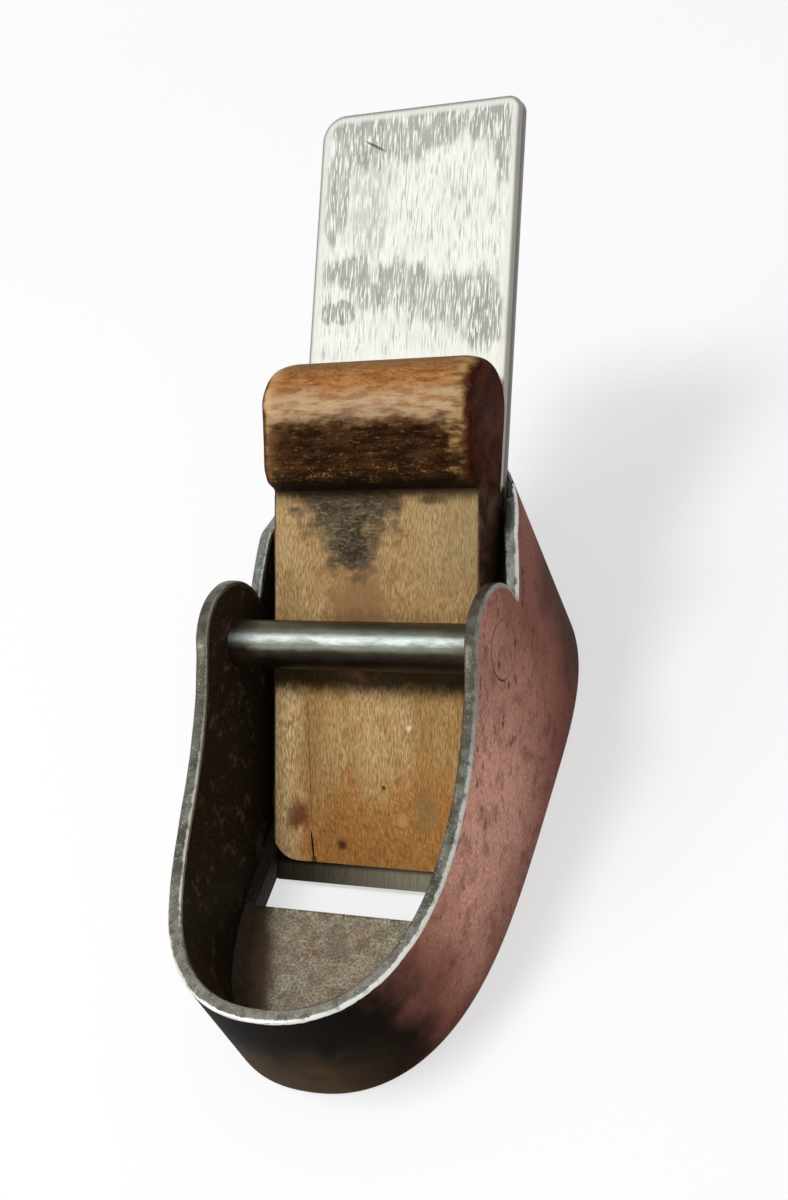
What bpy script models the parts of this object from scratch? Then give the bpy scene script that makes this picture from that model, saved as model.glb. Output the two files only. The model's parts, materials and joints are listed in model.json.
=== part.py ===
"""Luthier's thumb plane: a steel band round a sole plate, a cross pin, a wooden wedge and a loose iron.

Lengths are in metres and angles in radians.  The toe points to -Y, the heel to +Y, Z is up and the sole
rests on Z = 0.  Stations along Y are measured from the cutting edge, and the root empty then moves the
whole plane so that the origin lies on the ground under the middle of its box.
"""
import math

import bmesh
import bpy
from mathutils import Matrix, Vector
from mathutils.geometry import interpolate_bezier

# Iron: a flat blade, sharpened on its lower face, that lies a little to the left
IRON_WIDTH = 0.0280
IRON_LENGTH = 0.0988
IRON_THICKNESS = 0.0022
IRON_BEVEL_ANGLE = math.radians(25)
IRON_LEFT_CORNER = 0.0033
IRON_RIGHT_CORNER = 0.0019
IRON_SET_OVER = 0.0004
BED_ANGLE = math.radians(34.4)
EDGE_HEIGHT = 0.0009

# Wedge: a shade wider than the iron, tapers towards the mouth and ends in a rolled grip
WEDGE_OVERLAP = 0.00005
WEDGE_TIP_UP_IRON = 0.0026
WEDGE_TIP_THICKNESS = 0.00115
WEDGE_TIP_CORNER = 0.0036
WEDGE_TAPER = math.radians(7.2)
WEDGE_FACE_LENGTH = 0.0454
GRIP_LENGTH = 0.0161
GRIP_THICKNESS = 0.0120
GRIP_STEP = 0.0032
GRIP_LIP_LEAN = 0.0006
GRIP_LIP_ROUND = 0.0026
GRIP_ROOT_ROUND = 0.0005
GRIP_END_ROUND = 0.0006

# Cross pin: bears on the wedge, with its ends spread into the cheeks
PIN_UP_IRON = 0.0289
PIN_RADIUS = 0.0030
PIN_HEAD_RADIUS = 0.0035
PIN_HEAD_DEPTH = 0.0009

# Side band: plan of the body
SIDE_ROOM = 0.0028
WALL = 0.00165
WIDEST_STATION = 0.0183
TOE_REACH = 0.0450
TOE_FULLNESS = 4.05
TOE_CORNER = 2.23
HEEL_REACH = 0.0334
HEEL_FULLNESS = 2.95
HEEL_CORNER = 2.0

# Side band: outline of the rim seen from the side
TOE_RIM_HEIGHT = 0.0168
TOE_RIM_DIP = 0.0004
SWEEP_TOE_PULL = 0.0152
SWEEP_LOBE_PULL = 0.0140
LOBE_RADIUS = 0.0074
LOBE_ABOVE_PIN = 0.0007
LOBE_FRONT_ANGLE = math.radians(135)
HORN_SLOPE = math.radians(31)
HORN_ROUND = 0.0030
SHOULDER_HEIGHT = 0.0287

# Sole plate and the wooden bed block behind the mouth
SOLE_THICKNESS = 0.0026
MOUTH_GAP = 0.0049
BED_NOSE_HEIGHT = 0.0015

# Fits and facets
CLEARANCE = 0.0003
CUT_MARGIN = 0.0100
SHORTEST_FACET = 0.0003
ARC_STEPS = 8
TOE_STEPS = 26
HEEL_STEPS = 22
SWEEP_STEPS = 20
LOBE_STEPS = 16
PIN_STEPS = 40

HALF_IRON = IRON_WIDTH / 2
HALF_MOUTH = HALF_IRON + IRON_SET_OVER + CLEARANCE
HALF_BODY = HALF_IRON + SIDE_ROOM + WALL
TOE_STATION = WIDEST_STATION - TOE_REACH
HEEL_STATION = WIDEST_STATION + HEEL_REACH
BED_DEPTH = IRON_THICKNESS + CLEARANCE


def along_bed(up_iron, off_face):
    """Station and height of a point given by its distance up the iron and off the iron's upper face."""
    station = up_iron * math.cos(BED_ANGLE) - off_face * math.sin(BED_ANGLE)
    height = EDGE_HEIGHT + up_iron * math.sin(BED_ANGLE) + off_face * math.cos(BED_ANGLE)
    return station, height


def bed_height(station):
    """Height of the bed, a clearance below the iron's lower face."""
    return EDGE_HEIGHT + station * math.tan(BED_ANGLE) - BED_DEPTH / math.cos(BED_ANGLE)


def bed_station(height):
    """Station where the bed reaches a height."""
    return (height - EDGE_HEIGHT + BED_DEPTH / math.cos(BED_ANGLE)) / math.tan(BED_ANGLE)


def wedge_face(up_iron):
    """Distance of the wedge's front face off the iron's upper face."""
    rise = (up_iron - WEDGE_TIP_UP_IRON) * math.tan(WEDGE_TAPER)
    return CLEARANCE + WEDGE_TIP_THICKNESS + rise


PIN_OFF_FACE = wedge_face(PIN_UP_IRON) + (PIN_RADIUS + CLEARANCE) / math.cos(WEDGE_TAPER)
PIN_STATION, PIN_HEIGHT = along_bed(PIN_UP_IRON, PIN_OFF_FACE)
REAR_STATION = along_bed(IRON_LENGTH, -IRON_THICKNESS)[0]
BOX_MIDDLE = (TOE_STATION + max(REAR_STATION, HEEL_STATION)) / 2


def arc(centre, radius, start, end, steps):
    """Points on an arc, both ends included."""
    angles = [start + (end - start) * i / steps for i in range(steps + 1)]
    return [(centre[0] + radius * math.cos(a), centre[1] + radius * math.sin(a)) for a in angles]


def rounded(corners):
    """Outline through (point, radius) corners, each corner rounded by an arc of its radius."""
    points = []
    for i, (corner, radius) in enumerate(corners):
        here = Vector(corner)
        before = (Vector(corners[i - 1][0]) - here).normalized()
        after = (Vector(corners[(i + 1) % len(corners)][0]) - here).normalized()
        if radius == 0:
            points.append(corner)
            continue
        half = before.angle(after) / 2
        centre = here + (before + after).normalized() * radius / math.sin(half)
        first = here + before * radius / math.tan(half) - centre
        last = here + after * radius / math.tan(half) - centre
        turn = last.angle_signed(first)
        start = math.atan2(first.y, first.x)
        points += arc(centre, radius, start, start + turn, ARC_STEPS)
    return points


def half_width(station):
    """Half the body's outside width: a rounded toe and a rounded heel that meet at the widest station."""
    if station < WIDEST_STATION:
        share = min((WIDEST_STATION - station) / TOE_REACH, 1)
        return HALF_BODY * (1 - share ** TOE_FULLNESS) ** (1 / TOE_CORNER)
    share = min((station - WIDEST_STATION) / HEEL_REACH, 1)
    return HALF_BODY * (1 - share ** HEEL_FULLNESS) ** (1 / HEEL_CORNER)


def rim_profile():
    """Station and height of the band's top edge from the toe to the heel."""
    lobe = (PIN_STATION, PIN_HEIGHT + LOBE_ABOVE_PIN)
    lobe_arc = arc(lobe, LOBE_RADIUS, LOBE_FRONT_ANGLE, 0, LOBE_STEPS)
    join = Vector(lobe_arc[0])
    forward = Vector((math.sin(LOBE_FRONT_ANGLE), -math.cos(LOBE_FRONT_ANGLE)))
    toe = Vector((TOE_STATION, TOE_RIM_HEIGHT))
    toe_pull = toe + Vector((SWEEP_TOE_PULL, -TOE_RIM_DIP))
    lobe_pull = join - forward * SWEEP_LOBE_PULL
    sweep = [tuple(p) for p in interpolate_bezier(toe, toe_pull, lobe_pull, join, SWEEP_STEPS)]
    cusp = lobe_arc[-1]
    crest_station = cusp[0] + (SHOULDER_HEIGHT - cusp[1]) / math.tan(HORN_SLOPE)
    turn = HORN_ROUND * math.tan(HORN_SLOPE / 2)
    crest = (crest_station + turn, SHOULDER_HEIGHT - HORN_ROUND)
    horn = arc(crest, HORN_ROUND, math.pi / 2 + HORN_SLOPE, math.pi / 2, ARC_STEPS)
    bed_meets = bed_station(SHOULDER_HEIGHT - CLEARANCE)
    shoulder = [(bed_meets, SHOULDER_HEIGHT)] if horn[-1][0] < bed_meets < HEEL_STATION else []
    heel = (HEEL_STATION, max(SHOULDER_HEIGHT, bed_height(HEEL_STATION) + CLEARANCE))
    return sweep + lobe_arc[1:] + horn + shoulder + [heel]


def stations(profile):
    """Stations of the plan's points: each point of the rim, and even steps round the toe and the heel."""
    quarter = math.pi / 2
    toe = [WIDEST_STATION - TOE_REACH * math.sin(quarter * i / TOE_STEPS) for i in range(TOE_STEPS)]
    heel = [WIDEST_STATION + HEEL_REACH * math.sin(quarter * i / HEEL_STEPS) for i in range(1, HEEL_STEPS)]
    rim_stations = [station for station, height in profile]

    def nearest(station):
        """Distance along the plan to the nearest point that the rim needs."""
        width = half_width(station)
        return min(math.hypot(half_width(other) - width, other - station) for other in rim_stations)

    return sorted(rim_stations + [station for station in toe + heel if nearest(station) > SHORTEST_FACET])


def height_at(profile, station):
    """Height of the rim at a station, read along its outline."""
    for (y0, z0), (y1, z1) in zip(profile, profile[1:]):
        if y0 <= station <= y1:
            return z0 + (z1 - z0) * (station - y0) / max(y1 - y0, 1e-9)
    return profile[-1][1] if station > profile[-1][0] else profile[0][1]


def outline(steps, inset):
    """Closed plan of the body, counterclockwise from the toe, moved in from the outside by the inset."""
    right = [Vector((half_width(station), station)) for station in steps]
    mirrored = Vector((-1, 1))
    before = [right[1] * mirrored] + right[:-1]
    after = right[1:] + [right[-2] * mirrored]
    moved = []
    for point, last, following in zip(right, before, after):
        tangent = (following - last).normalized()
        moved.append(point - Vector((tangent.y, -tangent.x)) * inset)
    left = [point * mirrored for point in reversed(moved[1:-1])]
    return moved + left


def clear_scene():
    """Removes every object so that the script can be run again."""
    for item in list(bpy.data.objects):
        bpy.data.objects.remove(item, do_unlink=True)


def finish(name, colour, roughness, metallic):
    """Principled material of one piece."""
    material = bpy.data.materials.new(name)
    material.use_nodes = True
    shader = material.node_tree.nodes["Principled BSDF"]
    shader.inputs["Base Color"].default_value = (*colour, 1)
    shader.inputs["Roughness"].default_value = roughness
    shader.inputs["Metallic"].default_value = metallic
    return material


def add_piece(name, bm, parent, material=None):
    """Turns a bmesh into a named object, smooth except at its corners; one with no material is a cutter."""
    bmesh.ops.recalc_face_normals(bm, faces=bm.faces)
    mesh = bpy.data.meshes.new(name)
    bm.to_mesh(mesh)
    bm.free()
    mesh.shade_smooth()
    mesh.set_sharp_from_angle(angle=math.radians(30))
    piece = bpy.data.objects.new(name, mesh)
    piece.parent = parent
    bpy.context.collection.objects.link(piece)
    if material:
        mesh.materials.append(material)
    else:
        piece.hide_render = True
        piece.display_type = 'WIRE'
    return piece


def cut(piece, cutter):
    """Takes the cutter's shape out of a piece."""
    modifier = piece.modifiers.new(cutter.name, 'BOOLEAN')
    modifier.operation = 'DIFFERENCE'
    modifier.solver = 'EXACT'
    modifier.object = cutter


def extruded(points, direction):
    """Solid made by extruding a closed outline of 3-D points."""
    bm = bmesh.new()
    face = bm.faces.new([bm.verts.new(point) for point in points])
    grown = bmesh.ops.extrude_face_region(bm, geom=[face])
    top = [item for item in grown["geom"] if isinstance(item, bmesh.types.BMVert)]
    bmesh.ops.translate(bm, verts=top, vec=direction)
    return bm


def side_prism(points, half):
    """Solid between -half and +half across the plane, from an outline of stations and heights."""
    return extruded([(-half, station, height) for station, height in points], (2 * half, 0, 0))


def turned_across(profile):
    """Solid of revolution about X through the pin's axis, from (x, radius) points."""
    bm = bmesh.new()
    verts = [bm.verts.new((x, PIN_STATION, PIN_HEIGHT + radius)) for x, radius in profile]
    edges = [bm.edges.new(pair) for pair in zip(verts, verts[1:])]
    bmesh.ops.spin(bm, geom=verts + edges, cent=(0, PIN_STATION, PIN_HEIGHT), axis=(1, 0, 0),
                   angle=math.tau, steps=PIN_STEPS, use_merge=True)
    bmesh.ops.remove_doubles(bm, verts=bm.verts, dist=CLEARANCE / 100)
    return bm


def pin_profile(growth, reach):
    """Half outline of the pin, spread at both ends; growth and reach make the matching holes."""
    head = PIN_HEAD_RADIUS + growth
    neck = PIN_RADIUS + growth
    end = half_width(PIN_STATION)
    inner = end - PIN_HEAD_DEPTH
    right = [(inner, neck), (end, head)]
    if reach:
        right.append((end + reach, head))
    right.append((end + reach, 0))
    left = [(-x, radius) for x, radius in reversed(right)]
    return left + right


def side_band(root, profile, steps):
    """Steel strip bent round the toe and the heel, with its rim cut to the lobes, pinned and notched."""
    bm = bmesh.new()
    foot = [bm.verts.new((*point, 0)) for point in outline(steps, 0)]
    ring = [bm.edges.new((a, b)) for a, b in zip(foot, foot[1:] + foot[:1])]
    grown = bmesh.ops.extrude_edge_only(bm, edges=ring)
    for item in grown["geom"]:
        if isinstance(item, bmesh.types.BMVert):
            item.co.z = height_at(profile, item.co.y)
    steel = finish("band_steel", (0.20, 0.12, 0.10), 0.45, 0.9)
    band = add_piece("side_band", bm, root, steel)
    wall = band.modifiers.new("wall", 'SOLIDIFY')
    wall.thickness = WALL
    wall.offset = -1
    wall.use_even_offset = True
    holes = add_piece("pin_holes", turned_across(pin_profile(CLEARANCE, CUT_MARGIN)), root)
    cut(band, holes)
    notch_foot = along_bed(WEDGE_FACE_LENGTH / 2, -BED_DEPTH)
    notch_end = along_bed(IRON_LENGTH, -BED_DEPTH)
    notch_top = (notch_foot[0], notch_end[1])
    notch = side_prism([notch_foot, notch_end, notch_top], HALF_MOUTH)
    cut(band, add_piece("iron_notch", notch, root))
    return band


def sole_plate(root, steps):
    """Steel plate let into the band, with a mouth as wide as the iron, sloped to the bed at its rear."""
    plan = outline(steps, WALL + CLEARANCE)
    steel = finish("sole_steel", (0.22, 0.20, 0.17), 0.55, 0.85)
    sole = add_piece("sole", extruded([(*point, 0) for point in plan], (0, 0, SOLE_THICKNESS)), root, steel)
    high = SOLE_THICKNESS + CUT_MARGIN
    slot = [(-MOUTH_GAP, bed_height(-MOUTH_GAP)), (bed_station(high), high), (-MOUTH_GAP, high)]
    cut(sole, add_piece("mouth", side_prism(slot, HALF_MOUTH), root))
    return sole


def bed_block(root, steps):
    """Wooden block that fills the heel under the iron, from just behind the mouth to the heel wall."""
    foot = SOLE_THICKNESS + CLEARANCE
    top = bed_height(HEEL_STATION)
    plan = outline(steps, WALL + CLEARANCE)
    wood = finish("bed_wood", (0.10, 0.05, 0.03), 0.7, 0.0)
    block = add_piece("bed_block", extruded([(*point, foot) for point in plan], (0, 0, top)), root, wood)
    nose = bed_station(foot + BED_NOSE_HEIGHT)
    ahead = TOE_STATION - CUT_MARGIN
    behind = HEEL_STATION + CUT_MARGIN
    above = top + foot + CUT_MARGIN
    waste = [(ahead, foot - CUT_MARGIN), (nose, foot - CUT_MARGIN), (nose, foot + BED_NOSE_HEIGHT),
             (behind, bed_height(behind)), (behind, above), (ahead, above)]
    cut(block, add_piece("bed_slope", side_prism(waste, HALF_BODY + CUT_MARGIN), root))
    return block


def cross_pin(root):
    """Round steel bar through both cheeks, its ends hammered into countersinks and filed flush."""
    steel = finish("pin_steel", (0.24, 0.25, 0.23), 0.35, 0.95)
    return add_piece("cross_pin", turned_across(pin_profile(0, 0)), root, steel)


def iron(bed):
    """Flat steel blade with rounded top corners and a bevel ground on its lower face."""
    corners = [((-HALF_IRON, 0), 0), ((HALF_IRON, 0), 0),
               ((HALF_IRON, IRON_LENGTH), IRON_RIGHT_CORNER), ((-HALF_IRON, IRON_LENGTH), IRON_LEFT_CORNER)]
    plan = [(x, up, 0) for x, up in rounded(corners)]
    bm = extruded(plan, (0, 0, -IRON_THICKNESS))
    ground = Vector((0, -math.sin(IRON_BEVEL_ANGLE), -math.cos(IRON_BEVEL_ANGLE)))
    cutting = bmesh.ops.bisect_plane(bm, geom=bm.verts[:] + bm.edges[:] + bm.faces[:], plane_co=(0, 0, 0),
                                     plane_no=ground, clear_outer=True)
    rim = [item for item in cutting["geom_cut"] if isinstance(item, bmesh.types.BMEdge)]
    bmesh.ops.edgeloop_fill(bm, edges=rim)
    steel = finish("iron_steel", (0.72, 0.72, 0.68), 0.3, 1.0)
    piece = add_piece("iron", bm, bed, steel)
    piece.location = (-IRON_SET_OVER, 0, 0)
    return piece


def wedge(bed):
    """Wooden wedge between the iron and the pin, with a rolled grip at its upper end."""
    lip = WEDGE_FACE_LENGTH
    face = WEDGE_TIP_THICKNESS + lip * math.tan(WEDGE_TAPER)
    nose = GRIP_THICKNESS / 2
    nose_at = lip + GRIP_LENGTH - nose
    grip = [((0, 0), 0), ((0, WEDGE_TIP_THICKNESS), 0), ((lip, face), GRIP_ROOT_ROUND),
            ((lip + GRIP_LIP_LEAN, face + GRIP_STEP), GRIP_LIP_ROUND), ((nose_at, GRIP_THICKNESS), 0)]
    turned_end = arc((nose_at, nose), nose, math.pi / 2, -math.pi / 2, 2 * ARC_STEPS)
    profile = rounded(grip) + turned_end[1:]
    half = HALF_IRON + WEDGE_OVERLAP
    bm = extruded([(-half, up, off) for up, off in profile], (2 * half, 0, 0))
    tip = [e for e in bm.edges if all(v.co.y < CLEARANCE for v in e.verts) and e.calc_length() < half]
    bmesh.ops.bevel(bm, geom=tip, offset=WEDGE_TIP_CORNER, affect='EDGES', segments=ARC_STEPS // 2,
                    profile=0.5, material=-1)
    ends = [e for e in bm.edges if all(abs(abs(v.co.x) - half) < CLEARANCE / 10 for v in e.verts)
            and min(v.co.y for v in e.verts) > lip - CLEARANCE and e.calc_length() < half]
    bmesh.ops.bevel(bm, geom=ends, offset=GRIP_END_ROUND, affect='EDGES', segments=2, profile=0.5, material=-1)
    bmesh.ops.translate(bm, verts=bm.verts, vec=(0, 0, CLEARANCE))
    wood = finish("wedge_wood", (0.42, 0.24, 0.09), 0.5, 0.0)
    piece = add_piece("wedge", bm, bed, wood)
    piece.location = (0, WEDGE_TIP_UP_IRON, 0)
    return piece


clear_scene()
plane_root = bpy.data.objects.new("plane_root", None)
plane_root.location = (0, -BOX_MIDDLE, 0)
bpy.context.collection.objects.link(plane_root)
bed_frame = bpy.data.objects.new("bed_frame", None)
bed_frame.matrix_local = Matrix.Translation((0, 0, EDGE_HEIGHT)) @ Matrix.Rotation(BED_ANGLE, 4, 'X')
bed_frame.parent = plane_root
bpy.context.collection.objects.link(bed_frame)

rim = rim_profile()
plan_steps = stations(rim)
side_band(plane_root, rim, plan_steps)
sole_plate(plane_root, plan_steps)
bed_block(plane_root, plan_steps)
cross_pin(plane_root)
iron(bed_frame)
wedge(bed_frame)
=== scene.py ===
import json
import math

import bmesh
import bpy
import numpy as np
from mathutils import Matrix, Vector, noise
from mathutils.geometry import interpolate_bezier


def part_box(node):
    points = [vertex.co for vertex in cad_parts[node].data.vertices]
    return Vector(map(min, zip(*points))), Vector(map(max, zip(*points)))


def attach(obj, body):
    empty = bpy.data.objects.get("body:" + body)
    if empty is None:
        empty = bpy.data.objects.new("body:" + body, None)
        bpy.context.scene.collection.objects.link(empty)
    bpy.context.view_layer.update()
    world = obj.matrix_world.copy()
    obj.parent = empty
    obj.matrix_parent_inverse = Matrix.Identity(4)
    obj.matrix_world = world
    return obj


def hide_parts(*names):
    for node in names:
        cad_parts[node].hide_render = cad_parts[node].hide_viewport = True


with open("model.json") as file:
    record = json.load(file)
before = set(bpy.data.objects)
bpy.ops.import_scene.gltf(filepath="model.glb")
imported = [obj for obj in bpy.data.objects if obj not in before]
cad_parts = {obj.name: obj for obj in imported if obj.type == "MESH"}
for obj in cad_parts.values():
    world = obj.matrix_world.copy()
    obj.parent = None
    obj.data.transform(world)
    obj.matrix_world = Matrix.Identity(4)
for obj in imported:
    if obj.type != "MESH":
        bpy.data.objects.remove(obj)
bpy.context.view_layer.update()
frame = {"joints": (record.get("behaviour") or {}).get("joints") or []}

# Side band
# One strip of steel, sawn and filed to its outline while flat, bent round toe and heel and brazed.
# Outside it has a red-brown skin, inside it is black with age, and handling keeps its rim bright.
# On the rim, the bright line along one edge and the white specks are painted highlights and glints.
# The skin's pink cast is painted light, and its pale middle along the cheeks is a painted sheen.
WALL = 0.00165
TOE_REACH = 0.0450
TOE_FULLNESS = 4.05
TOE_CORNER = 2.23
HEEL_FULLNESS = 2.95
HEEL_CORNER = 2.0
TOE_RIM_HEIGHT = 0.0168
TOE_RIM_DIP = 0.0004
SWEEP_TOE_PULL = 0.0152
SWEEP_LOBE_PULL = 0.0140
LOBE_RADIUS = 0.0074
LOBE_ABOVE_PIN = 0.0007
LOBE_FRONT_ANGLE = math.radians(135)
HORN_SLOPE = math.radians(31)
HORN_ROUND = 0.0030
SHOULDER_HEIGHT = 0.0287
RIM_ROUND = 0.0004
RIM_WEAR = 0.00022
RIM_WEAR_LENGTH = 0.0035
RIM_WEAR_REACH = 0.0025
FOOT_ROUND = 0.0002
PIN_RADIUS = 0.0030
PIN_FIT = 0.00003
IRON_ROOM = 0.0003
PLAN_STEPS = 800
SWEEP_STEPS = 60
LOBE_STEPS = 36
HOLE_STEPS = 24
RIM_SEGMENTS = 3
FOOT_SEGMENTS = 2
COLUMN_STEP = 0.0008
ROW_STEP = 0.0010
MERGE = 0.000001
SHARP_ANGLE = math.radians(30)

# Where each change of finish starts and where it is full, in metres or as shares of the wall.
BAND_BUMP = 0.00008
POLISH_SLANT = math.radians(42)
# Where the painted sheen along the middle of the cheek starts and ends.
SHEEN_FRONT = (-0.046, -0.032)
SHEEN_REAR = (0.000, -0.022)
FOOT_DARK = (0.012, -0.002)
MARKED_HEIGHT = (0.006, 0.020)
LOBE_DARK_HEIGHT = (0.019, 0.026)
LOBE_DARK_STATION = (-0.010, -0.014)
# The dark joint round the pin's end, darker on its front and upper side as painted shade.
RING_WIDTH = (0.00026, 0.00006)
RING_SHADED_SIDE = (-0.0005, 0.0022)
# Painted shade towards the heel, where the cheek curves away, with less of it higher up.
HEEL_SHADE = (-0.003, 0.010)
HEEL_PALE_HEIGHT = (0.014, 0.024)
# Where the front of the toe turns near black, as painted shade.
TOE_SHADE = (-0.0435, -0.0505)
TOE_LOW = (0.012, 0.002)
TOE_MIDDLE = 0.001
TOE_HALF = (0.013, 0.003)
# Where the rim's painted highlight is brightest, and which of its edges carries it on each side.
TOE_SHINE = (-0.034, -0.052)
RIM_WORN = (0.00064, 0.00044)
RIM_LOBE_HEIGHT = (0.018, 0.027)
HORN_BEHIND_PIN = (0.0070, 0.0085)
LEFT_SIDE = (-0.006, -0.013)
LEFT_STATION = (-0.050, -0.040)
OUTER_HIGHLIGHT = (0.34, 0.06)
INNER_HIGHLIGHT = (0.70, 0.95)
WALL_MIDDLE = (0.3, 0.7)

# The skin's pink cast is painted light; its palest tone is a painted sheen.
SKIN_RED = (148, 96, 81)
SKIN_SHEEN = (226, 170, 150)
SKIN_FOOT = (116, 68, 59)
SKIN_FIBRE = (98, 58, 48)
SKIN_BLOT = (104, 60, 52)
SKIN_MARK = (74, 43, 36)
SKIN_LOBE = (92, 52, 42)
SKIN_RING = (44, 25, 20)
SKIN_HEEL_SHADE = (50, 24, 15)
# Near black of the toe's front: painted shade.
TOE_SHADE_BLACK = (9, 5, 2)
TOE_BROWN = (74, 55, 36)
TOE_FIBRE = (66, 50, 36)
INSIDE_BLACK = (37, 30, 21)
INSIDE_GRAIN = (72, 59, 47)
INSIDE_RUST = (112, 95, 74)
RIM_GREY = (122, 124, 115)
RIM_TARNISH = (80, 77, 68)
RIM_LOBE = (78, 72, 62)
RIM_TOE = (156, 150, 137)
RIM_HORN = (150, 157, 149)
RIM_HOLLOW = (74, 68, 59)
# Painted highlight and painted glints on the rim.
RIM_HIGHLIGHT = (230, 232, 224)
RIM_GLINT = (206, 208, 199)

band_low, band_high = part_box("side_band")
pin_low, pin_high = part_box("cross_pin")
iron_low, iron_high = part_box("iron")
half_body = band_high.x
half_iron = (iron_high.x - iron_low.x) / 2
half_mouth = -iron_low.x + IRON_ROOM
widest_station = band_low.y + TOE_REACH
heel_reach = band_high.y - widest_station
pin_station = (pin_low.y + pin_high.y) / 2
pin_height = (pin_low.z + pin_high.z) / 2
pin_head_radius = (pin_high.z - pin_low.z) / 2
edge = Vector((iron_low.x + half_iron, iron_low.y, iron_low.z))
slide = frame["joints"][0]["axis"]
bed_angle = math.atan2(slide[2], slide[1])
iron_length = (iron_high.z - edge.z) / math.sin(bed_angle)
iron_thickness = (iron_high.y - edge.y - iron_length * math.cos(bed_angle)) / math.sin(bed_angle)


def bed_height(station, below_iron):
    """Height of a line parallel to the iron, a distance below the iron's lower face."""
    depth = (iron_thickness + below_iron) / math.cos(bed_angle)
    return edge.z + (station - edge.y) * math.tan(bed_angle) - depth


def bed_station(height, below_iron):
    """Station where that line reaches a height."""
    depth = (iron_thickness + below_iron) / math.cos(bed_angle)
    return edge.y + (height - edge.z + depth) / math.tan(bed_angle)


def arc(centre, radius, start, end, steps):
    """Points on an arc, both ends included."""
    angles = [start + (end - start) * i / steps for i in range(steps + 1)]
    return [(centre[0] + radius * math.cos(a), centre[1] + radius * math.sin(a)) for a in angles]


def plan_point(turn):
    """Point of the band's outside seen from above, for a turn of 0 at the toe to 2 at the heel."""
    if turn < 1:
        angle = turn * math.pi / 2
        width = math.sin(angle) ** (2 / TOE_CORNER)
        return half_body * width, widest_station - TOE_REACH * math.cos(angle) ** (2 / TOE_FULLNESS)
    angle = (2 - turn) * math.pi / 2
    width = math.sin(angle) ** (2 / HEEL_CORNER)
    return half_body * width, widest_station + heel_reach * math.cos(angle) ** (2 / HEEL_FULLNESS)


plan = np.array([plan_point(2 * i / PLAN_STEPS) for i in range(PLAN_STEPS + 1)])
plan_lengths = np.concatenate([[0], np.cumsum(np.hypot(*np.diff(plan, axis=0).T))])
strip_length = plan_lengths[-1]


def strip_distance(station):
    """Distance along the strip from the middle of the toe to a station."""
    return float(np.interp(station, plan[:, 1], plan_lengths))


def bend(distance, depth):
    """Point on the right half of the bent band, a distance along it and a depth in from its outside."""
    spots = np.array([distance - COLUMN_STEP / 4, distance, distance + COLUMN_STEP / 4])
    x = np.interp(spots, plan_lengths, plan[:, 0])
    y = np.interp(spots, plan_lengths, plan[:, 1])
    along = Vector((x[2] - x[0], y[2] - y[0])).normalized()
    if distance < MERGE or distance > strip_length - MERGE:
        along = Vector((math.copysign(1, strip_length / 2 - distance), 0))
    return Vector((x[1] - along.y * depth, y[1] + along.x * depth))


def rim_outline():
    """Station and height of the strip's top edge from toe to heel, with the cusp behind the lobe."""
    lobe = (pin_station, pin_height + LOBE_ABOVE_PIN)
    lobe_arc = arc(lobe, LOBE_RADIUS, LOBE_FRONT_ANGLE, 0, LOBE_STEPS)
    join = Vector(lobe_arc[0])
    forward = Vector((math.sin(LOBE_FRONT_ANGLE), -math.cos(LOBE_FRONT_ANGLE)))
    toe = Vector((band_low.y, TOE_RIM_HEIGHT))
    toe_pull = toe + Vector((SWEEP_TOE_PULL, -TOE_RIM_DIP))
    sweep = interpolate_bezier(toe, toe_pull, join - forward * SWEEP_LOBE_PULL, join, SWEEP_STEPS)
    cusp = lobe_arc[-1]
    crest_station = cusp[0] + (SHOULDER_HEIGHT - cusp[1]) / math.tan(HORN_SLOPE)
    crest = (crest_station + HORN_ROUND * math.tan(HORN_SLOPE / 2), SHOULDER_HEIGHT - HORN_ROUND)
    horn = arc(crest, HORN_ROUND, math.pi / 2 + HORN_SLOPE, math.pi / 2, LOBE_STEPS // 4)
    shoulder_end = bed_station(SHOULDER_HEIGHT, 0)
    heel = (band_high.y, max(bed_height(band_high.y, 0), SHOULDER_HEIGHT))
    return [tuple(p) for p in sweep] + lobe_arc[1:] + horn + [(shoulder_end, SHOULDER_HEIGHT), heel]


def thicken(bm, faces, way):
    """Extrudes faces by a vector and returns the vertices that moved."""
    grown = bmesh.ops.extrude_face_region(bm, geom=faces)
    moved = [item for item in grown["geom"] if isinstance(item, bmesh.types.BMVert)]
    bmesh.ops.translate(bm, verts=moved, vec=way)
    return moved


def round_off(bm, edges, width, segments):
    """Rounds edges by a bevel of the given width."""
    bmesh.ops.bevel(bm, geom=edges, offset=width, affect='EDGES', segments=segments, profile=0.5,
                    material=-1)


def cut(bm, place, normal, clear=False):
    """Cuts all faces along a plane, and may clear what lies beyond it and close the opening."""
    made = bmesh.ops.bisect_plane(bm, geom=bm.verts[:] + bm.edges[:] + bm.faces[:], dist=MERGE,
                                  plane_co=place, plane_no=normal, clear_outer=clear)
    if clear:
        rim = [item for item in made["geom_cut"] if isinstance(item, bmesh.types.BMEdge)]
        bmesh.ops.edgeloop_fill(bm, edges=rim)


def slice_up(bm, axis, low, high, step):
    """Cuts all faces along evenly spaced planes across one axis."""
    normal = Vector([axis == i for i in range(3)])
    for i in range(1, math.ceil((high - low) / step)):
        cut(bm, normal * (low + i * step), normal)


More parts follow.
